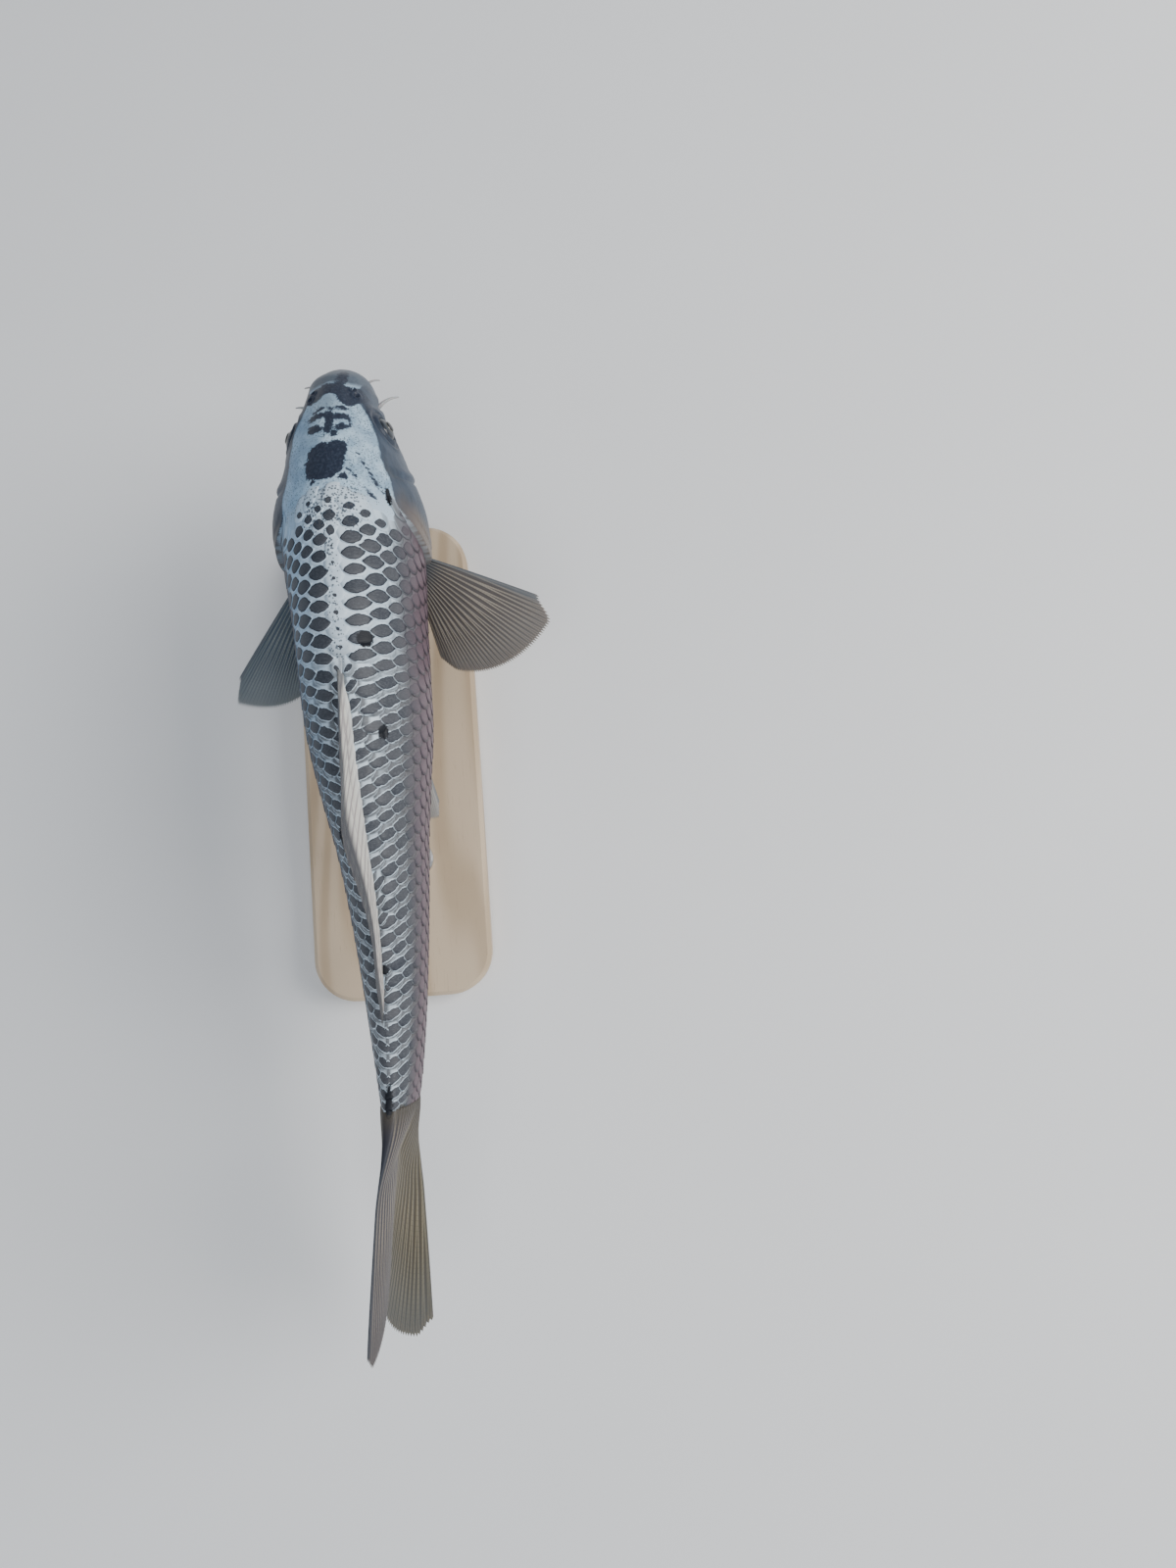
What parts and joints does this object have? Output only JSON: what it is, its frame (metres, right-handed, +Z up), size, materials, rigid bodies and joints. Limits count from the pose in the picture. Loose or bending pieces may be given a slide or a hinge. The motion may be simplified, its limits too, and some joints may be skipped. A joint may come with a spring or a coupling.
{
  "type": "koi carp model on a stand",
  "caption": "Life-size still model of a slender koi carp with pale net-like scale pattern and spread side fins, held over a flat base by rods.",
  "frame": {"origin": "middle of the base's underside", "axes": "+Z up towards the back of the fish, +Y from head to tail, +X towards the fish's left side"},
  "size_m": [0.1522, 0.4437, 0.1674],
  "materials": {
    "head_skin": "smooth wet skin, white with slate patches",
    "scaled_skin": "slate scales edged in bluish white, wet sheen",
    "fin": "ivory rays with dark membrane between",
    "tail_fin": "brownish ivory rays, dark upper edge",
    "eye": "dark eye with a silver ring, polished",
    "barbel": "pale grey feelers",
    "stand_wood": "pale oiled hardwood",
    "stand_steel": "brushed"
  },
  "bodies": {
    "root": {"head": "head_skin", "gill_cover_left": "head_skin", "gill_cover_right": "head_skin", "trunk_front": "scaled_skin", "trunk_rear": "scaled_skin", "tail_stem": "scaled_skin", "dorsal_fin": "fin", "anal_fin": "fin", "caudal_fin_upper": "tail_fin", "caudal_fin_lower": "tail_fin", "pectoral_fin_left": "fin", "pectoral_fin_right": "fin", "pelvic_fin_left": "fin", "pelvic_fin_right": "fin", "eye_left": "eye", "eye_right": "eye", "barbel_front_left": "barbel", "barbel_front_right": "barbel", "barbel_rear_left": "barbel", "barbel_rear_right": "barbel", "stand_base": "stand_wood", "stand_rod_front": "stand_steel", "stand_rod_rear": "stand_steel"}
  },
  "joints": []
}
